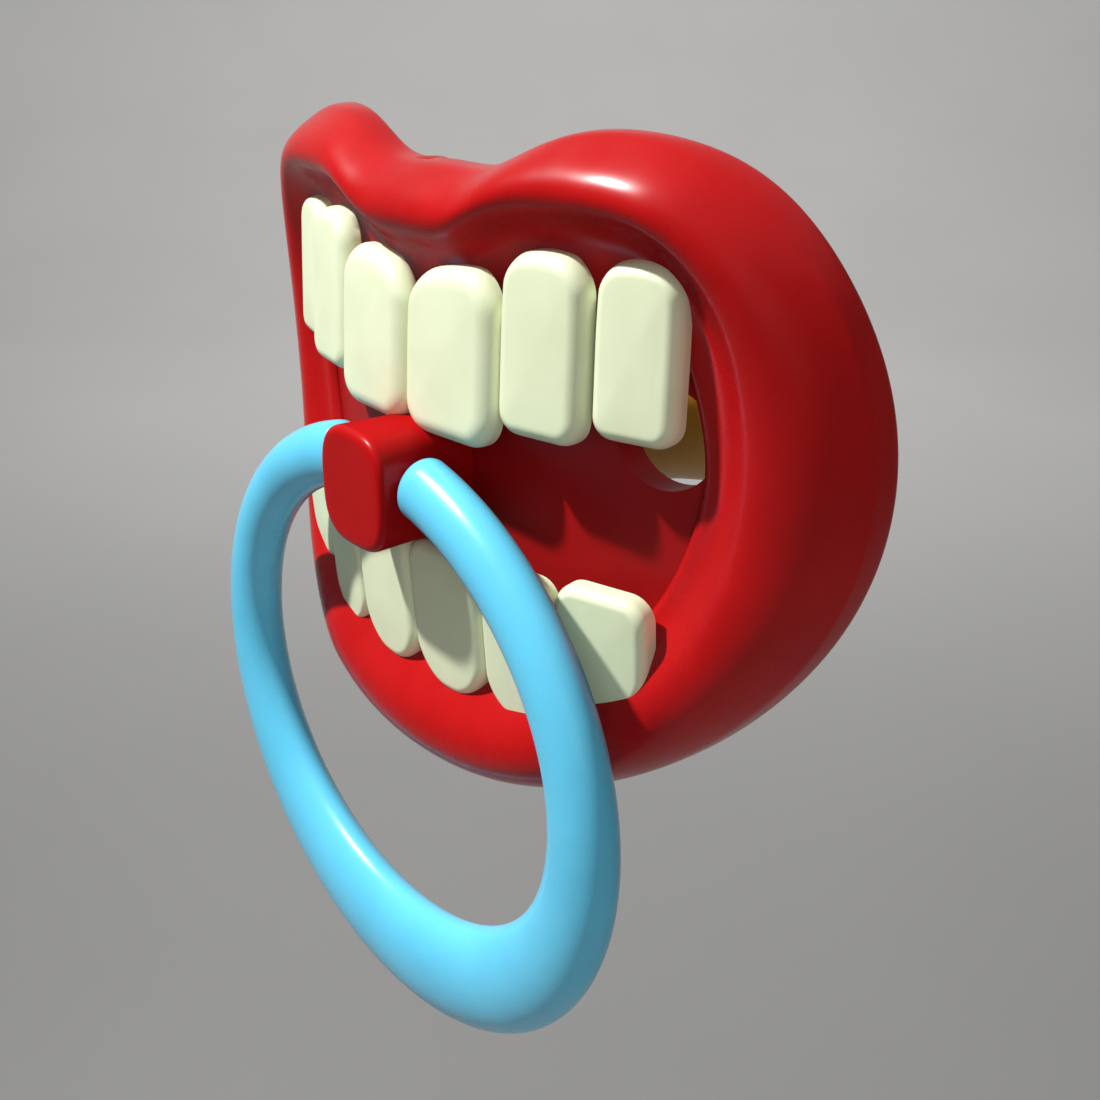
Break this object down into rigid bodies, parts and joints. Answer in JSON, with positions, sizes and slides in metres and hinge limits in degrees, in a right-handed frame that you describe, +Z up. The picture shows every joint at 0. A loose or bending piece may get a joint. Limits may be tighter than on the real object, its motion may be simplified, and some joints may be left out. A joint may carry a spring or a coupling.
{
  "type": "novelty pacifier",
  "caption": "Baby pacifier with a lips-and-teeth shield, a swinging ring handle on a squarish knob, and a hollow latex nipple behind.",
  "frame": {"origin": "on the axis of the nipple, in the seat of its flange on the rear face of the shield", "axes": "+X to the right as the front is seen, +Y out of the back along the nipple, +Z up; -Y is out of the front"},
  "size_m": [0.0622, 0.0439, 0.0661],
  "materials": {
    "lips": "glossy moulded plastic",
    "shield": "glossy moulded plastic",
    "teeth": "semi-gloss ivory moulded plastic",
    "knob": "glossy moulded plastic",
    "ring": "glossy moulded plastic",
    "nipple": "natural latex, satin",
    "plug": "natural moulded plastic"
  },
  "bodies": {
    "shield": {"lips": "lips", "mouth_plate": "shield", "upper_tooth_1": "teeth", "upper_tooth_2": "teeth", "upper_tooth_3": "teeth", "upper_tooth_4": "teeth", "upper_tooth_5": "teeth", "upper_tooth_6": "teeth", "lower_tooth_1": "teeth", "lower_tooth_2": "teeth", "lower_tooth_3": "teeth", "lower_tooth_4": "teeth", "lower_tooth_5": "teeth", "lower_tooth_6": "teeth", "knob_post": "knob", "knob_cap": "knob", "nipple": "nipple", "nipple_plug": "plug", "nipple_collar": "shield"},
    "ring": {"ring_handle": "ring"}
  },
  "joints": [
    {"name": "ring_swing", "type": "hinge", "parent": "shield", "child": "ring", "pos_m": [0, -0.00725, 0.00125], "axis": [-1, 0, 0], "range_deg": [-8, 170]}
  ]
}
